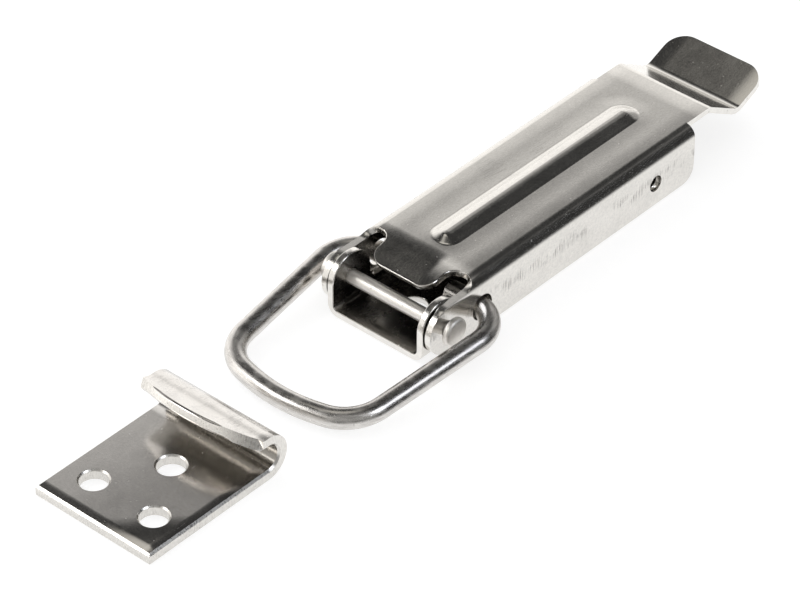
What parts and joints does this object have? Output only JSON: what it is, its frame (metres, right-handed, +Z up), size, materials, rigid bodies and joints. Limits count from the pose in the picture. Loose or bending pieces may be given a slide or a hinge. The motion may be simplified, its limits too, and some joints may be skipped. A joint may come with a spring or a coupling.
{
  "type": "over centre toggle latch",
  "caption": "Over centre toggle latch: pressed steel lever on a screwed channel base, a hinged wire bail and a separate hooked catch plate.",
  "frame": {"origin": "on the mounting face, straight below the pivot pin's axis and midway between the lever's walls", "axes": "+X back along the lever to the finger tab, +Y along the pivot pin, +Z up away from the mounting face"},
  "size_m": [0.1681, 0.0404, 0.0132],
  "materials": {
    "base_steel": "bright pressed stainless",
    "lever_steel": "bright pressed stainless with faint handling marks",
    "pin_steel": "satin drawn stainless",
    "wire_steel": "bright drawn stainless wire",
    "keeper_steel": "bright pressed stainless"
  },
  "bodies": {
    "mounting": {"base": "base_steel", "pivot_pin": "pin_steel", "keeper": "keeper_steel"},
    "lever": {"lever": "lever_steel"},
    "bail": {"bail": "wire_steel"}
  },
  "joints": [
    {"name": "lever_pivot", "type": "hinge", "parent": "mounting", "child": "lever", "pos_m": [0, 0, 0.0061], "axis": [0, -1, 0], "range_deg": [0, 150]},
    {"name": "bail_pivot", "type": "hinge", "parent": "lever", "child": "bail", "pos_m": [0.0093, 0, 0.0054], "axis": [0, 1, 0], "range_deg": [0, 169.5]}
  ]
}
